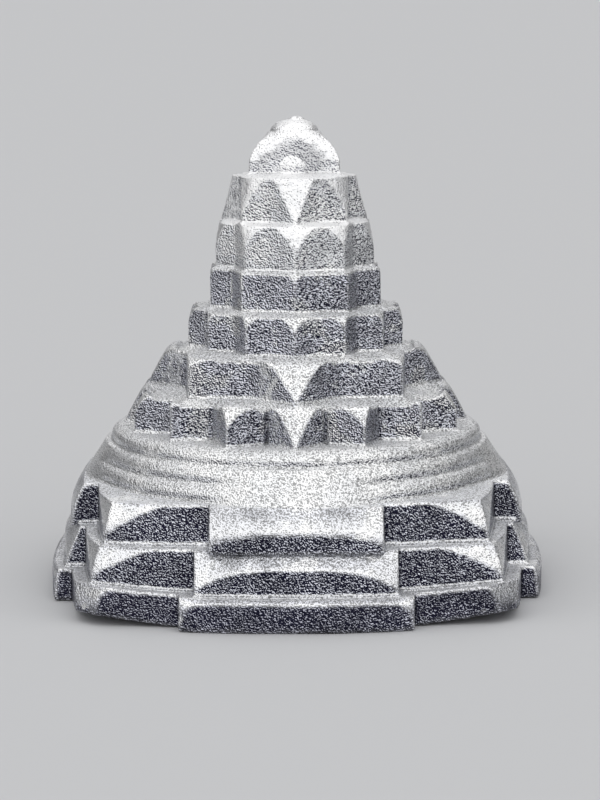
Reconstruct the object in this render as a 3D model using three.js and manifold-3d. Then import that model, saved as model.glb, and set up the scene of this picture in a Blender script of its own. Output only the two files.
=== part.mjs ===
// Shri yantra in its raised mountain form, a small solid casting in bright white metal.
// Millimetres, +Z up, resting on z = 0, axis through the origin, one gate facing -Y.
// Every enclosure is a body of its own and stands flat on the one below it.
import * as THREE from 'three';
import { mergeVertices } from 'three/addons/utils/BufferGeometryUtils.js';
import Module from 'manifold-3d';

const wasm = await Module();
wasm.setup();

// Heights, from the table up
const lowerStepHeight = 2.0;
const middleStepHeight = 2.55;
const upperStepHeight = 2.5;
const ringHeight = 1.0;
const tierHeight = 2.5;
const towerTierHeight = 2.85;
const triangleHeight = 2.55;
const binduHeight = 0.62;
const binduKnobHeight = 0.3;

// Square enclosure: half side of the walls at the corners, reach and half width of the gates
const lowerHalfSide = 13.0;
const lowerGateReach = 15.45;
const lowerGateHalfWidth = 6.9;
const middleHalfSide = 12.2;
const middleGateReach = 14.65;
const middleGateHalfWidth = 6.0;
const upperHalfSide = 11.45;
const upperGateReach = 14.15;
const upperGateHalfWidth = 5.15;
const gateBow = 0.6;

// How far the trimming leans in from foot to crown, at the wall corners and at the gates
const wallTrim = 0.5;
const lowerGateFoot = 15.75;
const lowerGateTrim = 0.55;
const middleGateFoot = 15.4;
const middleGateTrim = 1.2;
const upperGateFoot = 14.5;
const upperGateTrim = 1.2;

// Three rings and the smooth aprons that run down them to the gates
const lowerRingRadius = 12.75;
const middleRingRadius = 12.2;
const upperRingRadius = 11.65;
const ringWallHeight = 0.4;
const apronHalfWidth = 3.9;
const apronTaper = 0.45;
const apronTopReach = 12.0;

// Star enclosures: radius of the points and of the valleys between them
const sixteenPetalTip = 10.8;
const sixteenPetalValley = 8.9;
const eightPetalTip = 9.2;
const eightPetalValley = 7.35;
const fourteenCornerTip = 6.9;
const fourteenCornerValley = 6.0;
const outerTenCornerTip = 5.5;
const outerTenCornerValley = 4.8;
const innerTenCornerTip = 5.1;
const innerTenCornerValley = 4.6;
const eightCornerTip = 4.4;
const eightCornerValley = 3.6;
const triangleTip = 3.3;

// Upright part of the bells that start late, and how far a crown stands out past the next points
const fourteenCornerStraight = 1.5;
const outerTenCornerStraight = 2.0;
const ledge = 0.1;
const petalLedge = 0.5;

// Shape of the bells: 1 leans in evenly, more leans in late
const evenLean = 1.1;
const lateLean = 1.7;
const capLean = 3;

// Plans of the walls and bells: bow of a side as a share of its half side, and squareness of a round form
const wallBow = 0.08;
const bellBow = 0.18;
const squareness = 3;

// Crown of the triangle, its front boss, and the bindu on top
const triangleCrown = 2.05;
const bossRadius = 0.8;
const bossRise = 1.0;
const bossProjection = 0.18;
const binduRadius = 1.25;
const binduCrown = 0.5;
const binduKnobRadius = 0.38;

const turnedSegments = 72;
const bellSteps = 5;
const arcSegments = 10;
const overrun = 1;

const middleStepBase = lowerStepHeight;
const upperStepBase = middleStepBase + middleStepHeight;
const ringBase = upperStepBase + upperStepHeight;
const sixteenBase = ringBase + 3 * ringHeight;
const eightPetalBase = sixteenBase + tierHeight;
const fourteenBase = eightPetalBase + tierHeight;
const outerTenBase = fourteenBase + tierHeight;
const innerTenBase = outerTenBase + tierHeight;
const eightCornerBase = innerTenBase + towerTierHeight;
const triangleBase = eightCornerBase + towerTierHeight;
const binduBase = triangleBase + triangleHeight;

// Closed body from a geometry, its corners joined and its empty triangles left out
function solid(geometry) {
  geometry.deleteAttribute('normal');
  geometry.deleteAttribute('uv');
  const merged = mergeVertices(geometry);
  const index = [];
  for (let i = 0; i < merged.index.count; i += 3) {
    const [a, b, c] = [0, 1, 2].map((k) => merged.index.getX(i + k));
    if (a !== b && b !== c && c !== a) index.push(a, b, c);
  }
  return new wasm.Manifold(new wasm.Mesh({
    numProp: 3,
    vertProperties: new Float32Array(merged.attributes.position.array),
    triVerts: new Uint32Array(index),
  }));
}

// Plans, each as the reach in one direction for a size of 1
const circle = () => 1;

function squarishRound(angle) {
  const across = Math.abs(Math.cos(angle)) ** squareness;
  const along = Math.abs(Math.sin(angle)) ** squareness;
  return (across + along) ** (-1 / squareness);
}

function bowedSquare(bow) {
  return (angle) => {
    const parts = [Math.abs(Math.cos(angle)), Math.abs(Math.sin(angle))];
    const across = Math.max(...parts);
    const along = Math.min(...parts);
    return (2 * (1 + bow)) / (across + Math.sqrt(across ** 2 + 4 * bow * (1 + bow) * along ** 2));
  };
}

// Solid about +Z from radius and height pairs that begin and end on the axis
function turned(pairs, plan = circle) {
  const points = pairs.map(([radius, height]) => new THREE.Vector2(radius, height));
  const geometry = new THREE.LatheGeometry(points, turnedSegments);
  geometry.rotateX(Math.PI / 2);
  const position = geometry.attributes.position;
  for (let i = 0; i < position.count; i++) {
    const reach = plan(Math.atan2(position.getY(i), position.getX(i)));
    position.setXY(i, position.getX(i) * reach, position.getY(i) * reach);
  }
  return solid(geometry);
}

// Bell: upright for a while, then leaning in faster and faster to the crown
function bell(base, height, { foot, crown, straight = 0, lean = lateLean, plan = squarishRound }) {
  const pairs = [[0, base], [foot, base]];
  for (let i = straight > 0 ? 0 : 1; i <= bellSteps; i++) {
    const s = i / bellSteps;
    pairs.push([crown + (foot - crown) * (1 - s ** lean), base + straight + (height - straight) * s]);
  }
  pairs.push([0, base + height]);
  return turned(pairs, plan);
}

function prism(shape, base, height) {
  const geometry = new THREE.ExtrudeGeometry(shape,
    { depth: height, bevelEnabled: false, curveSegments: arcSegments });
  geometry.translate(0, 0, base);
  return solid(geometry);
}

// Outline through equally spaced points, the first of them at the front
function outline(count, radius) {
  const shape = new THREE.Shape();
  for (let i = 0; i < count; i++) {
    const angle = (i * 2 * Math.PI) / count - Math.PI / 2;
    const corner = [radius(i, angle) * Math.cos(angle), radius(i, angle) * Math.sin(angle)];
    if (i === 0) shape.moveTo(...corner);
    else shape.lineTo(...corner);
  }
  shape.closePath();
  return shape;
}

// Upright star walls cut by the bell, which leaves an arch on each wall and a bright wedge at each point
function starTier(base, height, corners, { tip, valley, crown, straight, lean }) {
  const star = outline(2 * corners, (i) => (i % 2 === 0 ? tip : valley));
  const walls = prism(star, base - overrun, height + 2 * overrun);
  return walls.intersect(bell(base, height, { foot: tip, crown, straight, lean }));
}

// The same piece on all four sides
function fourSides(piece) {
  let all = piece;
  for (const turn of [90, 180, 270]) all = all.add(piece.rotate([0, 0, turn]));
  return all;
}

// Gate block on the front side, its face bowed outward
function gatePlan(halfWidth, reach) {
  const shape = new THREE.Shape();
  shape.moveTo(halfWidth, 0);
  shape.lineTo(-halfWidth, 0);
  shape.lineTo(-halfWidth, -reach + gateBow);
  shape.quadraticCurveTo(0, -reach - gateBow, halfWidth, -reach + gateBow);
  shape.closePath();
  return shape;
}

// Bowed walls and a gate on each side, trimmed so that the top edges fall away toward every corner
function squareStep(base, height, size) {
  const { halfSide, gateReach, gateHalfWidth, gateFoot, gateTrim, gateTrimPlan } = size;
  const square = outline(turnedSegments, (i, angle) => halfSide * bowedSquare(wallBow)(angle));
  const walls = prism(square, base - overrun, height + 2 * overrun);
  const gates = fourSides(prism(gatePlan(gateHalfWidth, gateReach), base - overrun, height + 2 * overrun));
  const wallBell = bell(base, height,
    { foot: halfSide, crown: halfSide - wallTrim, plan: bowedSquare(bellBow) });
  const gateBell = bell(base, height,
    { foot: gateFoot, crown: gateFoot - gateTrim, plan: gateTrimPlan });
  return walls.intersect(wallBell).add(gates.intersect(gateBell));
}

// Short wall, then a slope up to the foot of the next ring
function ring(base, radius, topRadius) {
  return turned([
    [0, base],
    [radius, base],
    [radius, base + ringWallHeight],
    [topRadius, base + ringHeight],
    [0, base + ringHeight],
  ]);
}

// Smooth slope from the gate up over the rings
function apronReach(level) {
  const foot = upperGateFoot - upperGateTrim;
  return foot + ((apronTopReach - foot) * (level - ringBase)) / (2 * ringHeight);
}

function aprons(base, halfWidth) {
  const side = new THREE.Shape();
  side.moveTo(0, base);
  side.lineTo(-apronReach(base), base);
  side.lineTo(-apronReach(base + ringHeight), base + ringHeight);
  side.lineTo(0, base + ringHeight);
  side.closePath();
  const geometry = new THREE.ExtrudeGeometry(side, { depth: 2 * halfWidth, bevelEnabled: false });
  geometry.translate(0, 0, -halfWidth);
  geometry.rotateX(Math.PI / 2);
  geometry.rotateZ(Math.PI / 2);
  return fourSides(solid(geometry));
}

// Arched boss that stands out of the flat front of the triangle
function boss(base) {
  const arch = new THREE.Shape();
  arch.moveTo(-bossRadius, 0);
  arch.lineTo(bossRadius, 0);
  arch.lineTo(bossRadius, bossRise - bossRadius);
  arch.absarc(0, bossRise - bossRadius, bossRadius, 0, Math.PI, false);
  arch.closePath();
  const geometry = new THREE.ExtrudeGeometry(arch,
    { depth: triangleTip / 2 + bossProjection, bevelEnabled: false, curveSegments: arcSegments });
  geometry.rotateX(Math.PI / 2);
  geometry.translate(0, 0, base);
  return solid(geometry);
}

// Three-cornered cap, one corner at the back and a flat side at the front
function triangleCap(base) {
  const plan = outline(6, (i) => (i % 2 === 0 ? triangleTip / 2 : triangleTip));
  const walls = prism(plan, base - overrun, triangleHeight + 2 * overrun);
  const dome = bell(base, triangleHeight,
    { foot: triangleTip, crown: triangleCrown, lean: capLean, plan: circle });
  return walls.intersect(dome).add(boss(base));
}

// Low dome with a small knob
function bindu(base) {
  const shoulder = base + binduHeight;
  return turned([
    [0, base],
    [binduRadius, base],
    [binduRadius * 0.94, base + binduHeight * 0.4],
    [(binduRadius + binduCrown) / 2, base + binduHeight * 0.85],
    [binduCrown, shoulder],
    [binduKnobRadius, shoulder],
    [binduKnobRadius * 0.85, shoulder + binduKnobHeight * 0.6],
    [0, shoulder + binduKnobHeight],
  ]);
}

const yantra = new THREE.Group();
yantra.name = 'shri_yantra';

function place(name, color, roughness, body) {
  const mesh = body.getMesh();
  const geometry = new THREE.BufferGeometry();
  geometry.setAttribute('position', new THREE.BufferAttribute(new Float32Array(mesh.vertProperties), 3));
  geometry.setIndex(new THREE.BufferAttribute(new Uint32Array(mesh.triVerts), 1));
  geometry.computeVertexNormals();
  const material = new THREE.MeshStandardMaterial({ color, roughness, metalness: 1 });
  const piece = new THREE.Mesh(geometry, material);
  piece.name = name;
  yantra.add(piece);
}

place('ground_square_lower_step', 0xcfd1d6, 0.3, squareStep(0, lowerStepHeight, {
  halfSide: lowerHalfSide,
  gateReach: lowerGateReach,
  gateHalfWidth: lowerGateHalfWidth,
  gateFoot: lowerGateFoot,
  gateTrim: lowerGateTrim,
  gateTrimPlan: squarishRound,
}));
place('ground_square_middle_step', 0xd3d5da, 0.34, squareStep(middleStepBase, middleStepHeight, {
  halfSide: middleHalfSide,
  gateReach: middleGateReach,
  gateHalfWidth: middleGateHalfWidth,
  gateFoot: middleGateFoot,
  gateTrim: middleGateTrim,
  gateTrimPlan: circle,
}));
place('ground_square_upper_step', 0xd5d7dc, 0.36, squareStep(upperStepBase, upperStepHeight, {
  halfSide: upperHalfSide,
  gateReach: upperGateReach,
  gateHalfWidth: upperGateHalfWidth,
  gateFoot: upperGateFoot,
  gateTrim: upperGateTrim,
  gateTrimPlan: circle,
}));
place('ring_lower', 0xd8dade, 0.34,
  ring(ringBase, lowerRingRadius, middleRingRadius + ledge).add(aprons(ringBase, apronHalfWidth)));
place('ring_middle', 0xd8dade, 0.34,
  ring(ringBase + ringHeight, middleRingRadius, upperRingRadius + ledge)
    .add(aprons(ringBase + ringHeight, apronHalfWidth - apronTaper)));
place('ring_upper', 0xd8dade, 0.34,
  ring(ringBase + 2 * ringHeight, upperRingRadius, sixteenPetalTip + ledge));
place('sixteen_petal_tier', 0xd6d8dd, 0.36, starTier(sixteenBase, tierHeight, 16, {
  tip: sixteenPetalTip, valley: sixteenPetalValley, crown: eightPetalTip + ledge, lean: evenLean,
}));
place('eight_petal_tier', 0xd6d8dd, 0.36, starTier(eightPetalBase, tierHeight, 8, {
  tip: eightPetalTip, valley: eightPetalValley, crown: fourteenCornerTip + petalLedge, lean: lateLean,
}));
place('fourteen_corner_tier', 0xd6d8dd, 0.36, starTier(fourteenBase, tierHeight, 14, {
  tip: fourteenCornerTip, valley: fourteenCornerValley, crown: outerTenCornerTip + ledge,
  straight: fourteenCornerStraight, lean: evenLean,
}));
place('outer_ten_corner_tier', 0xd4d6db, 0.38, starTier(outerTenBase, tierHeight, 10, {
  tip: outerTenCornerTip, valley: outerTenCornerValley, crown: innerTenCornerTip + ledge,
  straight: outerTenCornerStraight, lean: evenLean,
}));
place('inner_ten_corner_tier', 0xd4d6db, 0.38, starTier(innerTenBase, towerTierHeight, 10, {
  tip: innerTenCornerTip, valley: innerTenCornerValley, crown: eightCornerTip + ledge, lean: lateLean,
}));
place('eight_corner_tier', 0xd4d6db, 0.38, starTier(eightCornerBase, towerTierHeight, 8, {
  tip: eightCornerTip, valley: eightCornerValley, crown: triangleTip + ledge, lean: evenLean,
}));
place('triangle_cap', 0xd9dbe0, 0.34, triangleCap(triangleBase));
place('bindu', 0xdcdee3, 0.32, bindu(binduBase));

export default yantra;
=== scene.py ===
import bmesh
import bpy
import math
from collections import namedtuple
from mathutils import Matrix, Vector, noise


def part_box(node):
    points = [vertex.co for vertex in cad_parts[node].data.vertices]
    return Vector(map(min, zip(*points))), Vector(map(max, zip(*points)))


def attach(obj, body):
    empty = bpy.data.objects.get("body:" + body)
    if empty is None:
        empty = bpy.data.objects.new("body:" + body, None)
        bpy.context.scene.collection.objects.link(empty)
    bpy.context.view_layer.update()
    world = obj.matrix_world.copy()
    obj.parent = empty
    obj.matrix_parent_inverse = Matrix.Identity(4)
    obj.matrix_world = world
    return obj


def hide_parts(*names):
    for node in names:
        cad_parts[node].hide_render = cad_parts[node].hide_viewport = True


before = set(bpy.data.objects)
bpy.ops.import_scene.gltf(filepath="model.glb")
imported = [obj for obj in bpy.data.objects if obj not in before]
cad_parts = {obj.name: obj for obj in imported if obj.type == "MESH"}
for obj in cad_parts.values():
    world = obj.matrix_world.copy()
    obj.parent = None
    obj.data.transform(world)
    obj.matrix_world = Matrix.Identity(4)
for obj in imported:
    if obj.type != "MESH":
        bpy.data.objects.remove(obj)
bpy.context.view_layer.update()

# Ground square, three steps with a gate block on each side. The real one is solid silver, cast with
# the rest in one pour: edges soft from the mould, walls grainy. The colour paints the walls dark as
# painted reflection and the rims bright as painted highlight.
# The corners of the casting have drawn up a little, and one lower edge is chipped.
MM = 0.001
JOINT_DEPTH = 0.25
JOINT_HAIR = 0.015


def levels_of(node):
    low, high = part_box(node)
    return low.z / MM, high.z / MM


def heights(form):
    levels = [v.co.z for v in form.verts]
    return min(levels), max(levels)


def fill_openings(form):
    rim = [e for e in form.edges if e.is_boundary]
    bmesh.ops.holes_fill(form, edges=rim, sides=0)


def cut_level(form, level, keep_above):
    parts = form.verts[:] + form.edges[:] + form.faces[:]
    bmesh.ops.bisect_plane(form, geom=parts, dist=1e-6, plane_co=(0, 0, level), plane_no=(0, 0, 1),
                           clear_inner=keep_above, clear_outer=not keep_above)


# The casting skin: the metal's surface where a mould of fine sand would leave it, edges rounded
def softened(form, cell, passes):
    rough = bpy.data.meshes.new("rough")
    form.to_mesh(rough)
    blank = bpy.data.objects.new("blank", rough)
    bpy.context.scene.collection.objects.link(blank)
    remesh = blank.modifiers.new("even cells", "REMESH")
    remesh.mode = "VOXEL"
    remesh.voxel_size = cell
    soften = blank.modifiers.new("soft edges", "SMOOTH")
    soften.factor = 0.5
    soften.iterations = passes
    evaluated = blank.evaluated_get(bpy.context.evaluated_depsgraph_get())
    cast = bmesh.new()
    cast.from_mesh(evaluated.to_mesh())
    evaluated.to_mesh_clear()
    bpy.data.objects.remove(blank)
    bpy.data.meshes.remove(rough)
    return cast


def join_copy(joined, piece):
    carrier = bpy.data.meshes.new("carrier")
    piece.to_mesh(carrier)
    joined.from_mesh(carrier)
    bpy.data.meshes.remove(carrier)


def join_slab(joined, piece, level, keep_above):
    slab = piece.copy()
    cut_level(slab, level, keep_above)
    fill_openings(slab)
    bmesh.ops.recalc_face_normals(slab, faces=slab.faces)
    join_copy(joined, slab)
    slab.free()


def sink_foot(form, foot):
    for v in form.verts:
        if v.co.z < foot + 0.001:
            v.co.z -= JOINT_DEPTH


# A piece with its fillets on the pieces below and above, cut off at the joints and closed
def cast_on(form, below, cell, passes, above=None):
    base, top = heights(form)
    joined = form.copy()
    if below is not None:
        sink_foot(joined, base)
        join_slab(joined, below, base - 3 * JOINT_DEPTH, True)
    if above is not None:
        upper = above.copy()
        sink_foot(upper, top)
        join_slab(joined, upper, top + 2 * JOINT_DEPTH, False)
        upper.free()
    cast = softened(joined, cell, passes)
    joined.free()
    if above is not None:
        cut_level(cast, top + JOINT_HAIR, False)
        fill_openings(cast)
    if below is not None:
        cut_level(cast, base + JOINT_HAIR, True)
        rim = [e for e in cast.edges if e.is_boundary]
        skirt = bmesh.ops.extrude_edge_only(cast, edges=rim)["geom"]
        low = [v for v in skirt if isinstance(v, bmesh.types.BMVert)]
        bmesh.ops.translate(cast, vec=(0, 0, -JOINT_DEPTH / 2), verts=low)
        fill_openings(cast)
    return cast


# The flat that the next piece covers needs no cells
def clear_covered_top(cast, top, radius):
    covered = [f for f in cast.faces
               if f.normal.z > 0.99 and abs(f.calc_center_median().z - top) < 0.05
               and all(v.co.xy.length < radius for v in f.verts)]
    bmesh.ops.delete(cast, geom=covered, context="FACES")
    fill_openings(cast)


WARP = 0.07
WARPS_PER_MM = 0.21
WARP_FADES_BELOW = 3
CORNER = 13.0
CORNER_LIFT = 0.8
MIDDLE_STEP_TOP = levels_of("ground_square_middle_step")[1]
noise.seed_set(11)


# How the whole casting has drawn out of true, the same field for every piece: it stands level, but
# the corners of the ground have lifted
def drawn(point):
    wave = noise.noise_vector(point * WARPS_PER_MM) * WARP
    wave.z *= min(1, point.z / WARP_FADES_BELOW)
    across = abs(point.x * point.y) / CORNER ** 2
    pull = min(1, max(0, across - 0.5) * 2) ** 1.3
    wave.z += CORNER_LIFT * pull * max(0, 1 - point.z / MIDDLE_STEP_TOP)
    return wave


LUMPS_PER_MM = 2.1
SMALL_LUMPS_PER_MM = 4.3


def finish_piece(name, cast, material, node, lumps=0.014):
    bmesh.ops.recalc_face_normals(cast, faces=cast.faces)
    for v in cast.verts:
        place = v.co.copy()
        lump = noise.noise(place * LUMPS_PER_MM) + 0.5 * noise.noise(place * SMALL_LUMPS_PER_MM)
        v.co += drawn(place) + v.normal * lump * lumps
    bmesh.ops.scale(cast, vec=(MM, MM, MM), verts=cast.verts)
    mesh = bpy.data.meshes.new(name)
    cast.to_mesh(mesh)
    cast.free()
    mesh.shade_smooth()
    piece = bpy.data.objects.new(name, mesh)
    bpy.context.scene.collection.objects.link(piece)
    mesh.materials.append(material)
    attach(piece, "root")
    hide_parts(node)


def shader_group(name, inputs, outputs):
    group = bpy.data.node_groups.new(name, "ShaderNodeTree")
    for label, kind, value in inputs:
        socket = group.interface.new_socket(label, in_out="INPUT", socket_type=kind)
        if value is not None:
            socket.default_value = value
    for label, kind in outputs:
        group.interface.new_socket(label, in_out="OUTPUT", socket_type=kind)
    return group, group.nodes.new("NodeGroupInput"), group.nodes.new("NodeGroupOutput")


def noise_node(tree, scale, detail):
    node = tree.nodes.new("ShaderNodeTexNoise")
    node.inputs["Scale"].default_value = scale
    node.inputs["Detail"].default_value = detail
    return node


def math_node(tree, operation, first, second):
    node = tree.nodes.new("ShaderNodeMath")
    node.operation = operation
    for socket, value in zip(node.inputs, (first, second)):
        if isinstance(value, (int, float)):
            socket.default_value = value
        else:
            tree.links.new(value, socket)
    return node.outputs[0]


def range_node(tree, value, low, high, to_low=0.0, to_high=1.0):
    node = tree.nodes.new("ShaderNodeMapRange")
    tree.links.new(value, node.inputs["Value"])
    node.inputs["From Min"].default_value = low
    node.inputs["From Max"].default_value = high
    node.inputs["To Min"].default_value = to_low
    node.inputs["To Max"].default_value = to_high
    return node.outputs[0]


def colour_mix(tree, factor, first, second):
    node = tree.nodes.new("ShaderNodeMix")
    node.data_type = "RGBA"
    tree.links.new(factor, node.inputs[0])
    tree.links.new(first, node.inputs[6])
    tree.links.new(second, node.inputs[7])
    return node.outputs[2]


def scaled(tree, vector, factor):
    node = tree.nodes.new("ShaderNodeVectorMath")
    node.operation = "SCALE"
    tree.links.new(vector, node.inputs[0])
    tree.links.new(factor, node.inputs["Scale"])
    return node.outputs[0]


GRAINS_PER_METRE = 10500
BLOTCHES_PER_METRE = 420
PITS_PER_METRE = 900
TOWARD_SKY = (0.22, -0.22, 0.42)


# Fine grain that the mould leaves, with a few pits. The same grain read a little further on tells
# which side of it leans to the sky; the colour paints that side lit and the other side in shade.
def make_cast_grain():
    group, start, end = shader_group(
        "cast grain",
        [("Position", "NodeSocketVector", None), ("Grains per Metre", "NodeSocketFloat", GRAINS_PER_METRE)],
        [("Height", "NodeSocketFloat"), ("Lean", "NodeSocketFloat"), ("Blotch", "NodeSocketFloat")])
    grains = scaled(group, start.outputs["Position"], start.outputs["Grains per Metre"])
    further = group.nodes.new("ShaderNodeVectorMath")
    further.inputs[1].default_value = TOWARD_SKY
    group.links.new(grains, further.inputs[0])
    fine = noise_node(group, 1, 1)
    fine_further = noise_node(group, 1, 1)
    coarse = noise_node(group, 0.37, 1)
    blotch = noise_node(group, BLOTCHES_PER_METRE, 3)
    pits = group.nodes.new("ShaderNodeTexVoronoi")
    pits.inputs["Scale"].default_value = PITS_PER_METRE
    for texture, place in ((fine, grains), (coarse, grains), (fine_further, further.outputs[0]),
                           (blotch, start.outputs["Position"]), (pits, start.outputs["Position"])):
        group.links.new(place, texture.inputs["Vector"])
    pit = range_node(group, pits.outputs["Distance"], 0.05, 0.13, -0.6, 0.0)
    grain = math_node(group, "MULTIPLY_ADD", coarse.outputs["Fac"], 0.8)
    group.links.new(fine.outputs["Fac"], grain.node.inputs[2])
    lean = math_node(group, "SUBTRACT", fine.outputs["Fac"], fine_further.outputs["Fac"])
    # Pits lower the lean too, so the colour paints shade in them
    pitted_lean = math_node(group, "MULTIPLY_ADD", pit, 0.2)
    group.links.new(lean, pitted_lean.node.inputs[2])
    group.links.new(math_node(group, "ADD", grain, pit), end.inputs["Height"])
    group.links.new(pitted_lean, end.inputs["Lean"])
    group.links.new(blotch.outputs["Fac"], end.inputs["Blotch"])
    return group


# Painted light in the colour: painted sheen where surfaces face up, a painted highlight on rims,
# dark upright walls as painted reflection, and painted shade on the grains' sides away from the sky
def make_painted_light_silver():
    group, start, end = shader_group(
        "painted light silver",
        [("Between Grains", "NodeSocketColor", None), ("Wall", "NodeSocketColor", None),
         ("Bright", "NodeSocketColor", None), ("Lean", "NodeSocketFloat", 0.0),
         ("Lit Side From", "NodeSocketFloat", -0.05), ("Lit Side To", "NodeSocketFloat", 0.05),
         ("Blotch", "NodeSocketFloat", 0.5), ("Height", "NodeSocketFloat", 0.5),
         ("Sheen Widening", "NodeSocketFloat", 0.1), ("Full Sheen Slope", "NodeSocketFloat", 0.26),
         ("Flat Sheen", "NodeSocketFloat", 0.95)],
        [("Color", "NodeSocketColor"), ("Roughness", "NodeSocketFloat"), ("Metallic", "NodeSocketFloat"),
         ("Height", "NodeSocketFloat")])
    geometry = group.nodes.new("ShaderNodeNewGeometry")
    facing = group.nodes.new("ShaderNodeSeparateXYZ")
    group.links.new(geometry.outputs["Normal"], facing.inputs[0])
    upward, pointed = facing.outputs["Z"], geometry.outputs["Pointiness"]

    # Painted sheen: slopes that face up a little take it in full, low slopes and ledges less of it;
    # convex rims take a painted highlight
    slope = range_node(group, upward, 0.05, 0.26)
    group.links.new(start.outputs["Full Sheen Slope"], slope.node.inputs["From Max"])
    low_slope = range_node(group, upward, 0.3, 0.6, 1.0, 0.45)
    group.links.new(start.outputs["Flat Sheen"], low_slope.node.inputs["To Max"])
    flat = math_node(group, "MAXIMUM", low_slope, range_node(group, upward, 0.75, 0.95, 0.0, 0.75))
    rim = math_node(group, "MULTIPLY", range_node(group, pointed, 0.505, 0.55),
                    range_node(group, upward, -0.1, 0.1, 0.2, 1.0))
    lamp_facing = math_node(group, "MAXIMUM", math_node(group, "MULTIPLY", slope, flat), rim)
    cloud = range_node(group, start.outputs["Blotch"], 0.3, 0.7, 0.8, 1.1)
    painted_sheen = math_node(group, "MULTIPLY", lamp_facing, cloud)

    # Painted light on the grain: the sides that lean to the sky are painted lit, the rest painted shade,
    # and the painted sheen widens the lit sides
    between = colour_mix(group, painted_sheen, start.outputs["Between Grains"], start.outputs["Bright"])
    between = scaled(group, between, range_node(group, painted_sheen, 0, 1, 1, 0.3))
    top = colour_mix(group, painted_sheen, start.outputs["Wall"], start.outputs["Bright"])
    lean_with_sheen = math_node(group, "MULTIPLY_ADD", painted_sheen, start.outputs["Sheen Widening"])
    group.links.new(start.outputs["Lean"], lean_with_sheen.node.inputs[2])
    lit_side = range_node(group, lean_with_sheen, 0, 1)
    group.links.new(start.outputs["Lit Side From"], lit_side.node.inputs["From Min"])
    group.links.new(start.outputs["Lit Side To"], lit_side.node.inputs["From Max"])
    grained = colour_mix(group, lit_side, between, top)

    # Painted shade darkens the hollows, and the walls are dull in patches
    hollow_shade = range_node(group, pointed, 0.42, 0.49, 0.3, 1.0)
    dull = range_node(group, start.outputs["Blotch"], 0.36, 0.62, 0.72, 1.15)
    patch = math_node(group, "MAXIMUM", dull, range_node(group, painted_sheen, 0, 0.6))
    shade = math_node(group, "MULTIPLY", hollow_shade, patch)
    group.links.new(scaled(group, grained, shade), end.inputs["Color"])

    # Ledges have a fine frost, and the grain stands higher where the painted sheen is weak
    ledge = range_node(group, upward, 0.7, 0.97)
    group.links.new(range_node(group, ledge, 0, 1, 0.32, 0.6), end.inputs["Roughness"])
    group.links.new(range_node(group, ledge, 0, 1, 1.0, 0.55), end.inputs["Metallic"])
    grain_rise = range_node(group, painted_sheen, 0, 1, 3.0, 1.0)
    group.links.new(math_node(group, "MULTIPLY", start.outputs["Height"], grain_rise), end.inputs["Height"])
    return group


cast_grain = make_cast_grain()
painted_light_silver = make_painted_light_silver()


# lit_side: how far a grain leans to the sky where its painted light starts and where it is full;
# sheen_widening: how much the painted sheen lowers that; full_sheen_slope: how far up a slope faces
# when its painted sheen is full; flat_sheen: the share of painted sheen on low slopes; depth: the
# grain's, in metres
def silver(name, between, wall, bright, lit_side, sheen_widening, full_sheen_slope, flat_sheen=0.95, depth=0.00004):
    material = bpy.data.materials.new(name)
    material.use_nodes = True
    tree = material.node_tree
    shader = tree.nodes["Principled BSDF"]
    place = tree.nodes.new("ShaderNodeTexCoord")
    grain = tree.nodes.new("ShaderNodeGroup")
    grain.node_tree = cast_grain
    grain.inputs["Grains per Metre"].default_value = GRAINS_PER_METRE
    tree.links.new(place.outputs["Object"], grain.inputs["Position"])
    finish = tree.nodes.new("ShaderNodeGroup")
    finish.node_tree = painted_light_silver
    for label, colour in (("Between Grains", between), ("Wall", wall), ("Bright", bright)):
        finish.inputs[label].default_value = (*colour, 1)
    for label, value in (("Lit Side From", lit_side[0]), ("Lit Side To", lit_side[1]), ("Sheen Widening", sheen_widening),
                         ("Full Sheen Slope", full_sheen_slope), ("Flat Sheen", flat_sheen)):
        finish.inputs[label].default_value = value
    for label in ("Lean", "Blotch", "Height"):
        tree.links.new(grain.outputs[label], finish.inputs[label])
    bump = tree.nodes.new("ShaderNodeBump")
    bump.inputs["Strength"].default_value = 1.0
    bump.inputs["Distance"].default_value = depth
    tree.links.new(finish.outputs["Height"], bump.inputs["Height"])
    tree.links.new(bump.outputs["Normal"], shader.inputs["Normal"])
    for label, socket in (("Color", "Base Color"), ("Roughness", "Roughness"), ("Metallic", "Metallic")):
        tree.links.new(finish.outputs[label], shader.inputs[socket])
    return material


# Wall colours are dark as painted reflection, darkest on the lower step; bright colours are painted sheen
darkest_walled = silver("darkest walled silver", between=(0.018, 0.018, 0.036), wall=(0.56, 0.57, 0.65),
                   bright=(0.96, 0.965, 0.975), lit_side=(0.08, 0.125), sheen_widening=0.17, full_sheen_slope=0.36,
                   flat_sheen=0.45, depth=0.00003)
dark_walled = silver("dark walled silver", between=(0.016, 0.016, 0.034), wall=(0.78, 0.8, 0.88),
                     bright=(0.97, 0.975, 0.98), lit_side=(0.07, 0.11), sheen_widening=0.2, full_sheen_slope=0.28,
                     flat_sheen=0.5, depth=0.00003)


# A sheet of cells rolled up about the axis, one turn by one height; close_blank fills both ends
def rolled_blank(node, turns, rows):
    base, top = levels_of(node)
    blank = bmesh.new()
    bmesh.ops.create_grid(blank, x_segments=turns, y_segments=rows, size=0.5)
    places = []
    for v in blank.verts:
        turn, share = v.co.x * 2 * math.pi, v.co.y + 0.5
        v.co = (math.cos(turn), math.sin(turn), base + (top - base) * share)
        places.append((v, turn, min(1, max(0, share))))
    return blank, places


def close_blank(blank):
    bmesh.ops.remove_doubles(blank, verts=blank.verts, dist=1e-4)
    fill_openings(blank)
    bmesh.ops.recalc_face_normals(blank, faces=blank.faces)
    return blank


def bowed_square(turn, bow):
    sides = abs(math.cos(turn)), abs(math.sin(turn))
    across, along = max(sides), min(sides)
    return 2 * (1 + bow) / (across + math.sqrt(across ** 2 + 4 * bow * (1 + bow) * along ** 2))


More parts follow.
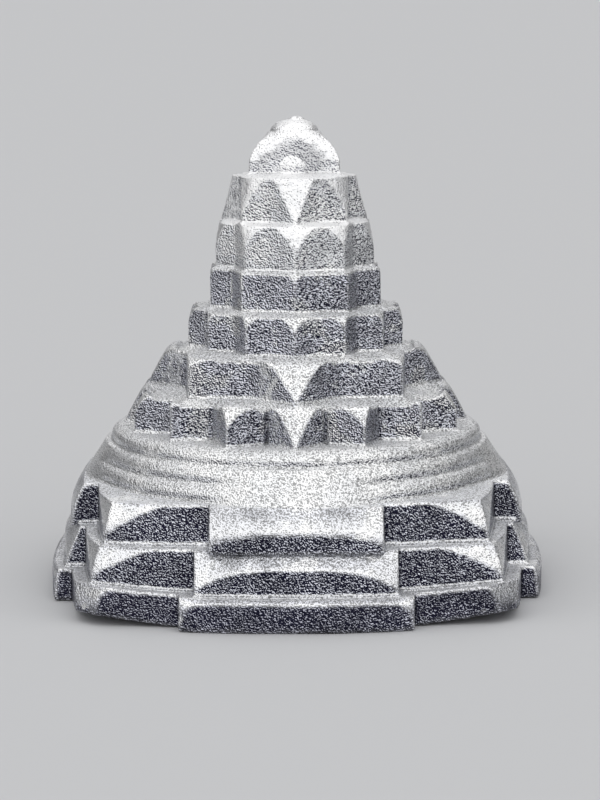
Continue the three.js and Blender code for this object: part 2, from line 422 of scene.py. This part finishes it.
STEP_TURNS = 960
STEP_ROWS = 14
WALL_BOW = 0.08
BELL_BOW = 0.18
BELL_CURVE = 1.7
CORNER_FROM = 0.86


# Bowed walls, cut by a bell that takes more off toward the corners
def step_blank(step):
    blank, places = rolled_blank(step.node, STEP_TURNS, STEP_ROWS)
    for v, turn, share in places:
        wall = step.half_side * bowed_square(turn, WALL_BOW)
        bell = (step.half_side - step.trim * share ** BELL_CURVE) * bowed_square(turn, BELL_BOW)
        sides = abs(math.cos(turn)), abs(math.sin(turn))
        corner = max(0, min(sides) / max(sides) - CORNER_FROM) / (1 - CORNER_FROM)
        v.co.xy *= min(wall, bell * (1 - step.corner_cut * corner))
    return close_blank(blank)


GATE_COLUMNS = 72
GATE_ROWS = 26
GATE_BACK = 8


# Gate block in front of one wall: a bowed face up to a low arch, above it a slope back to the crown
def add_gates(blank, step):
    base, top = levels_of(step.node)
    tall, block = top - base, step.gate
    for quarter in range(4):
        gate = bmesh.new()
        bmesh.ops.create_grid(gate, x_segments=GATE_COLUMNS, y_segments=GATE_ROWS, size=0.5)
        for v in gate.verts:
            side, up = v.co.x * 2, (v.co.y + 0.5) * tall
            rise = block.arch * max(0, 1 - abs(side) ** block.arch_power) ** block.arch_end
            back = (block.reach - block.crown) * (max(0, up - rise) / (tall - rise)) ** block.softness
            v.co = (side * block.half_width, -(block.reach - block.bow * side ** 2 - back), base + up)
        rim = [e for e in gate.edges if e.is_boundary]
        walls = bmesh.ops.extrude_edge_only(gate, edges=rim)["geom"]
        for v in walls:
            if isinstance(v, bmesh.types.BMVert):
                v.co.y = -GATE_BACK
        fill_openings(gate)
        bmesh.ops.recalc_face_normals(gate, faces=gate.faces)
        bmesh.ops.rotate(gate, verts=gate.verts, matrix=Matrix.Rotation(quarter * math.pi / 2, 3, "Z"))
        join_copy(blank, gate)
        gate.free()


CHIP_MIDDLE = 8.6
CHIP_HALF_WIDTH = 1.5
CHIP_HEIGHT = 0.7
CHIP_LIFT = 0.3


def chip_front_edge(form):
    for v in form.verts:
        if v.co.y < -10:
            nearness = max(0, 1 - abs(v.co.x - CHIP_MIDDLE) / CHIP_HALF_WIDTH)
            v.co.z += CHIP_LIFT * nearness * max(0, 1 - v.co.z / CHIP_HEIGHT)


# trim: what the bell takes off the wall's top; covered: the radius that the next piece hides;
# reach and crown: the gate's front at its foot and at its top; arch: the arch's height;
# softness: over 1, the slope above the arch starts gently
Gate = namedtuple("Gate", "half_width reach bow crown arch arch_power arch_end softness")
Step = namedtuple("Step", "node half_side trim corner_cut gate cell covered finish slot")
STEPS = (
    Step("ground_square_lower_step", half_side=13.0, trim=0.3, corner_cut=0.035,
         gate=Gate(half_width=6.9, reach=15.45, bow=0.6, crown=15.2,
                   arch=1.8, arch_power=12, arch_end=0.5, softness=1.3),
         cell=0.13, covered=11.5, finish=darkest_walled, slot="burnished_silver"),
    Step("ground_square_middle_step", half_side=12.2, trim=0.5, corner_cut=0,
         gate=Gate(half_width=6.0, reach=14.65, bow=0.45, crown=13.75,
                   arch=1.62, arch_power=3.2, arch_end=0.75, softness=1.3),
         cell=0.1, covered=10.8, finish=dark_walled, slot="cast_silver"),
    Step("ground_square_upper_step", half_side=11.45, trim=0.5, corner_cut=0,
         gate=Gate(half_width=5.15, reach=14.15, bow=0.25, crown=13.3,
                   arch=0.85, arch_power=4, arch_end=0.8, softness=1.8),
         cell=0.1, covered=12.2, finish=dark_walled, slot="cast_silver"))
below = None
for step in STEPS:
    form = step_blank(step)
    add_gates(form, step)
    if below is None:
        chip_front_edge(form)
    cast = cast_on(form, below, step.cell, passes=4)
    clear_covered_top(cast, heights(form)[1], step.covered)
    finish_piece(step.node + "_casting", cast, step.finish, step.node)
    below = form

# Three silver rings in the same pour, each a rounded moulding with a groove at its foot. Toward
# each gate the lower two sink into a smooth apron, where the pattern was wiped flat before casting.
RING_TURNS = 288
GROOVE = 0.1
APRON_FOOT = 13.3
APRON_TOP = 12.0
APRON_INNER = math.radians(11)
APRON_OUTER = math.radians(27)
ring_foot = levels_of("ring_lower")[0]


def ring_form(node, foot, head, apron):
    base, top = levels_of(node)
    tall = top - base
    profile = [(0, 0), (foot - GROOVE, 0), (foot - 0.03, 0.12), (foot, 0.3), (foot - 0.03, 0.5),
               (foot - 0.13, 0.68), ((foot + head) / 2 - 0.02, 0.85), (head, 1), (0, 1)]
    ring = bmesh.new()
    chain = [ring.verts.new((radius, 0, base + share * tall)) for radius, share in profile]
    edges = [ring.edges.new(pair) for pair in zip(chain, chain[1:])]
    bmesh.ops.spin(ring, geom=chain + edges, cent=(0, 0, 0), axis=(0, 0, 1), angle=2 * math.pi,
                   steps=RING_TURNS, use_merge=True)
    bmesh.ops.remove_doubles(ring, verts=ring.verts, dist=1e-4)
    for v in ring.verts:
        reach = v.co.xy.length
        if reach < 1 or not apron:
            continue
        turn = math.atan2(v.co.y, v.co.x)
        off_gate = abs((turn + math.pi / 4) % (math.pi / 2) - math.pi / 4)
        blend = min(1, max(0, (APRON_OUTER - off_gate) / (APRON_OUTER - APRON_INNER)))
        blend = blend * blend * (3 - 2 * blend)
        up = (v.co.z - ring_foot) / (2 * tall)
        slope = APRON_FOOT + (APRON_TOP - APRON_FOOT) * up
        v.co.xy *= (reach + (max(slope, reach) - reach) * blend) / reach
    bmesh.ops.recalc_face_normals(ring, faces=ring.faces)
    return ring


ring_silver = silver("ring silver", between=(0.025, 0.025, 0.045), wall=(0.94, 0.95, 0.98),
                     bright=(0.97, 0.975, 0.98), lit_side=(-0.06, -0.015), sheen_widening=0.0, full_sheen_slope=0.3,
                     flat_sheen=0.85)
rings = {"ring_lower": ring_form("ring_lower", foot=12.75, head=12.22, apron=True),
         "ring_middle": ring_form("ring_middle", foot=12.2, head=11.68, apron=True),
         "ring_upper": ring_form("ring_upper", foot=11.65, head=10.95, apron=False)}
for node, next_node, covered in (("ring_lower", "ring_middle", 11.2), ("ring_middle", "ring_upper", 11.2),
                                 ("ring_upper", None, 10.4)):
    cast = cast_on(rings[node], below, cell=0.09, passes=3, above=rings.get(next_node))
    clear_covered_top(cast, heights(rings[node])[1], covered)
    finish_piece(node + "_moulding", cast, ring_silver, node)
    below = rings[node]

# Petal tiers and corner tiers, silver from the same pour: stars with upright walls, each wall under
# an arch where the bell of the tower cuts it, and a wedge at every point that the bell reaches,
# bright from the painted sheen on its upward face. The bell is a little square in plan, so the
# diagonal points keep more of their height.
STAR_TURNS = 960
STAR_ROWS = 22
LEDGE_SLOPE = 0.6
LEDGE_DROP = 0.2
FOOT_GAP = 0.02
SIDE_CURVE = 1.4
ROUNDING_CURVE = 12
CREASE_WIDTH = 0.16
CAP_TIP = 3.42
CAP_TIP_CUT = 0.05
CAP_CORNER = 0.12
tower_silver = silver("tower silver", between=(0.012, 0.012, 0.028), wall=(0.88, 0.895, 0.97),
                      bright=(0.97, 0.975, 0.98), lit_side=(0.01, 0.045), sheen_widening=0.075, full_sheen_slope=0.26)
spire_silver = silver("spire silver", between=(0.02, 0.02, 0.04), wall=(0.96, 0.97, 0.99),
                      bright=(0.98, 0.98, 0.985), lit_side=(-0.06, -0.025), sheen_widening=0.15, full_sheen_slope=0.28)

# valleys: how far out the walls meet, between the front points and between the side points;
# bell: its reach at the tier's foot and at its top; lean: over 1, the bell turns in near the top;
# rounding: what the bell loses at its top edge; squareness: 2 is a round bell;
# crease: the groove in each valley; covered: the radius that the next tier hides
Tier = namedtuple("Tier", "node corners tip valleys wall_curve bell rounding lean squareness crease "
                  "ledge_drop cell covered finish")
TIERS = (
    Tier("sixteen_petal_tier", corners=16, tip=10.8, valleys=(9.2, 9.2), wall_curve=1.4,
         bell=(10.85, 9.55), rounding=0.5, lean=1.05, squareness=3, crease=0.4, ledge_drop=0.45,
         cell=0.085, covered=6.6, finish=tower_silver),
    Tier("eight_petal_tier", corners=8, tip=9.25, valleys=(7.35, 7.35), wall_curve=1.47,
         bell=(9.3, 7.95), rounding=0.7, lean=1.1, squareness=3, crease=0, ledge_drop=0.35,
         cell=0.08, covered=5.6, finish=tower_silver),
    Tier("fourteen_corner_tier", corners=14, tip=6.9, valleys=(6.4, 6.05), wall_curve=1.6,
         bell=(6.98, 6.55), rounding=0.2, lean=2.2, squareness=2.1, crease=0, ledge_drop=0.25,
         cell=0.065, covered=4.4, finish=tower_silver),
    Tier("outer_ten_corner_tier", corners=10, tip=5.58, valleys=(5.22, 4.8), wall_curve=1.7,
         bell=(5.62, 5.4), rounding=0.05, lean=4, squareness=2.1, crease=0, ledge_drop=LEDGE_DROP,
         cell=0.06, covered=4.2, finish=tower_silver),
    Tier("inner_ten_corner_tier", corners=10, tip=5.18, valleys=(4.76, 4.5), wall_curve=1.7,
         bell=(5.3, 4.7), rounding=0.05, lean=1.5, squareness=2.1, crease=0, ledge_drop=LEDGE_DROP,
         cell=0.06, covered=3.2, finish=spire_silver),
    Tier("eight_corner_tier", corners=8, tip=4.6, valleys=(3.9, 3.6), wall_curve=1.6,
         bell=(4.62, 3.84), rounding=0, lean=0.85, squareness=2.2, crease=0, ledge_drop=LEDGE_DROP,
         cell=0.055, covered=1.2, finish=spire_silver))


def star_reach(tier, turn, share):
    half = math.pi / tier.corners
    off_tip = abs((turn + math.pi / 2 + half) % (2 * half) - half)
    across, along = abs(math.cos(turn)), abs(math.sin(turn))
    valley, curve = tier.valleys[0], tier.wall_curve
    if math.atan2(across, along) > 2 * half:
        valley, curve = tier.valleys[1], SIDE_CURVE
    wall = valley + (tier.tip - valley) * max(0, 1 - off_tip / half) ** curve
    wall -= tier.crease * max(0, 1 - (half - off_tip) * valley / CREASE_WIDTH)
    square = (across ** tier.squareness + along ** tier.squareness) ** (-1 / tier.squareness)
    bell_foot, bell_top = tier.bell
    bell = bell_foot - (bell_foot - bell_top) * share ** tier.lean - tier.rounding * share ** ROUNDING_CURVE
    return min(wall, bell * square)


# The cap's plan: three straight sides, one of them to the front, with soft corners
def triangle_reach(turn):
    off = abs((turn - math.pi / 2 + math.pi / 3) % (2 * math.pi / 3) - math.pi / 3)
    side = CAP_TIP / 2 / math.cos(math.pi / 3 - off)
    corner = CAP_TIP - CAP_TIP_CUT
    return -math.log(math.exp(-side / CAP_CORNER) + math.exp(-corner / CAP_CORNER)) * CAP_CORNER


# The tier's top slopes down from the foot of what stands on it
def star_blank(tier, foot_above):
    blank, places = rolled_blank(tier.node, STAR_TURNS, STAR_ROWS)
    for v, turn, share in places:
        v.co.xy *= star_reach(tier, turn, share)
    top = max(v.co.z for v in blank.verts)
    bmesh.ops.remove_doubles(blank, verts=blank.verts, dist=1e-4)
    upper = [e for e in blank.edges if e.is_boundary and e.verts[0].co.z > top - 0.1]
    crown = bmesh.ops.extrude_edge_only(blank, edges=upper)["geom"]
    crown = {v for v in crown if isinstance(v, bmesh.types.BMVert)}
    for v in crown:
        turn = math.atan2(v.co.y, v.co.x)
        inner = min(foot_above(turn), v.co.xy.length)
        drop = min(tier.ledge_drop, LEDGE_SLOPE * (v.co.xy.length - inner))
        edge = [e.other_vert(v) for e in v.link_edges if e.other_vert(v) not in crown]
        for outer in edge:
            outer.co.z -= drop
        v.co.xy *= inner / v.co.xy.length
    return close_blank(blank)


for tier, next_tier in zip(TIERS, TIERS[1:] + (None,)):
    if next_tier is None:
        form = star_blank(tier, lambda turn: triangle_reach(turn) + FOOT_GAP)
    else:
        form = star_blank(tier, lambda turn: star_reach(next_tier, turn, 0) + FOOT_GAP)
    cast = cast_on(form, below, tier.cell, passes=4)
    clear_covered_top(cast, heights(form)[1], tier.covered)
    finish_piece(tier.node + "_casting", cast, tier.finish, tier.node)
    below = form

# Triangle cap: a three-sided silver block whose faces round over into a dome, with a small swelling
# at the foot of its front face. Cast with the rest, and smoother and brighter than the tiers.
CAP_TURNS = 180
# height above the foot, share of the triangle's reach, roundness, radius where round
CAP_ROWS = ((0, 1, 0, 2.9), (0.8, 0.99, 0.05, 2.9), (1.4, 0.93, 0.2, 2.6), (1.85, 0.84, 0.4, 2.35),
            (2.2, 0.72, 0.65, 2.05), (2.42, 0.6, 0.85, 1.8), (2.55, 0.5, 1, 1.62))
SWELLING_PLACE = (-0.1, -1.7)
SWELLING_SIZE = (0.88, 0.27, 1.1, 1)
cap_silver = silver("cap silver", between=(0.14, 0.14, 0.18), wall=(0.97, 0.975, 0.99),
                    bright=(0.98, 0.98, 0.985), lit_side=(-0.08, -0.03), sheen_widening=0.12, full_sheen_slope=0.24,
                    depth=0.000035)
cap_base = levels_of("triangle_cap")[0]
dome = bmesh.new()
rim = bmesh.ops.create_circle(dome, cap_ends=True, segments=CAP_TURNS, radius=1)["verts"]
face = dome.faces[:]
rows_of_cap = [rim]
for _ in CAP_ROWS[1:]:
    raised = bmesh.ops.extrude_face_region(dome, geom=face)["geom"]
    face = [g for g in raised if isinstance(g, bmesh.types.BMFace)]
    rows_of_cap.append([g for g in raised if isinstance(g, bmesh.types.BMVert)])
for verts, (height, share, roundness, radius) in zip(rows_of_cap, CAP_ROWS):
    for v in verts:
        turn = math.atan2(v.co.y, v.co.x)
        reach = triangle_reach(turn) * share * (1 - roundness) + radius * roundness
        v.co = (math.cos(turn) * reach, math.sin(turn) * reach, cap_base + height)
bmesh.ops.create_icosphere(dome, subdivisions=4, radius=1,
                           matrix=Matrix.Translation((*SWELLING_PLACE, cap_base))
                           @ Matrix.Diagonal(SWELLING_SIZE))
bmesh.ops.recalc_face_normals(dome, faces=dome.faces)
cap = cast_on(dome, below, cell=0.05, passes=4)
finish_piece("triangle_cap_casting", cap, cap_silver, "triangle_cap", lumps=0.02)

# Bindu: the low silver button that ends the dome, with a knob cast a little off centre. It is one
# with the rest of the pour, and as bright as the cap.
bindu_base, bindu_top = levels_of("bindu")
KNOB_PLACE = (0.12, 0, bindu_top - 0.3)
KNOB_SIZE = (0.55, 0.5, 0.3, 1)
button = bmesh.new()
profile = [(0, 0), (1.56, 0), (1.5, 0.14), (1.36, 0.32), (1.14, 0.5), (0.86, 0.63), (0.5, 0.7), (0, 0.72)]
chain = [button.verts.new((radius, 0, bindu_base + height)) for radius, height in profile]
edges = [button.edges.new(pair) for pair in zip(chain, chain[1:])]
bmesh.ops.spin(button, geom=chain + edges, cent=(0, 0, 0), axis=(0, 0, 1), angle=2 * math.pi, steps=64,
               use_merge=True)
bmesh.ops.remove_doubles(button, verts=button.verts, dist=1e-4)
bmesh.ops.create_icosphere(button, subdivisions=3, radius=1,
                           matrix=Matrix.Translation(KNOB_PLACE) @ Matrix.Diagonal(KNOB_SIZE))
bmesh.ops.recalc_face_normals(button, faces=button.faces)
bindu = cast_on(button, dome, cell=0.045, passes=3)
finish_piece("bindu_casting", bindu, cap_silver, "bindu", lumps=0.02)

# Stage: a plain pale floor, two broad soft lamps and a grey room. The camera looks down on the
# front a little, as the photograph does.
floor_form = bmesh.new()
bmesh.ops.create_grid(floor_form, x_segments=1, y_segments=1, size=20)
floor_mesh = bpy.data.meshes.new("floor")
floor_form.to_mesh(floor_mesh)
floor_form.free()
floor = bpy.data.objects.new("floor", floor_mesh)
bpy.context.scene.collection.objects.link(floor)
paper = bpy.data.materials.new("pale paper")
paper.use_nodes = True
paper.node_tree.nodes["Principled BSDF"].inputs["Base Color"].default_value = (0.6, 0.605, 0.615, 1)
paper.node_tree.nodes["Principled BSDF"].inputs["Roughness"].default_value = 0.8
floor_mesh.materials.append(paper)


def soft_lamp(name, strength, spread, elevation, azimuth):
    lamp = bpy.data.lights.new(name, "SUN")
    lamp.energy = strength
    lamp.angle = math.radians(spread)
    holder = bpy.data.objects.new(name, lamp)
    holder.rotation_euler = (math.radians(90 - elevation), 0, math.radians(azimuth))
    bpy.context.scene.collection.objects.link(holder)


soft_lamp("key", strength=2.8, spread=144, elevation=52, azimuth=-6)
soft_lamp("rim", strength=0.5, spread=100, elevation=40, azimuth=172)

room = bpy.data.worlds.new("room")
room.use_nodes = True
room.node_tree.nodes["Background"].inputs["Color"].default_value = (0.1, 0.1, 0.105, 1)
bpy.context.scene.world = room

LOOK_DOWN = math.radians(9.221)
ROLL = math.radians(-0.325)
camera_data = bpy.data.cameras.new("camera")
camera_data.sensor_fit = "HORIZONTAL"
camera_data.sensor_width = 36
camera_data.lens = 156
camera_data.clip_start = 0.01
camera_data.clip_end = 50
camera = bpy.data.objects.new("camera", camera_data)
camera.location = (0.000265, -0.1625, 0.03769)
camera.rotation_euler = (Matrix.Rotation(math.pi / 2 - LOOK_DOWN, 3, "X")
                         @ Matrix.Rotation(ROLL, 3, "Z")).to_euler()
bpy.context.scene.collection.objects.link(camera)
bpy.context.scene.camera = camera
bpy.context.scene.view_settings.view_transform = "Standard"
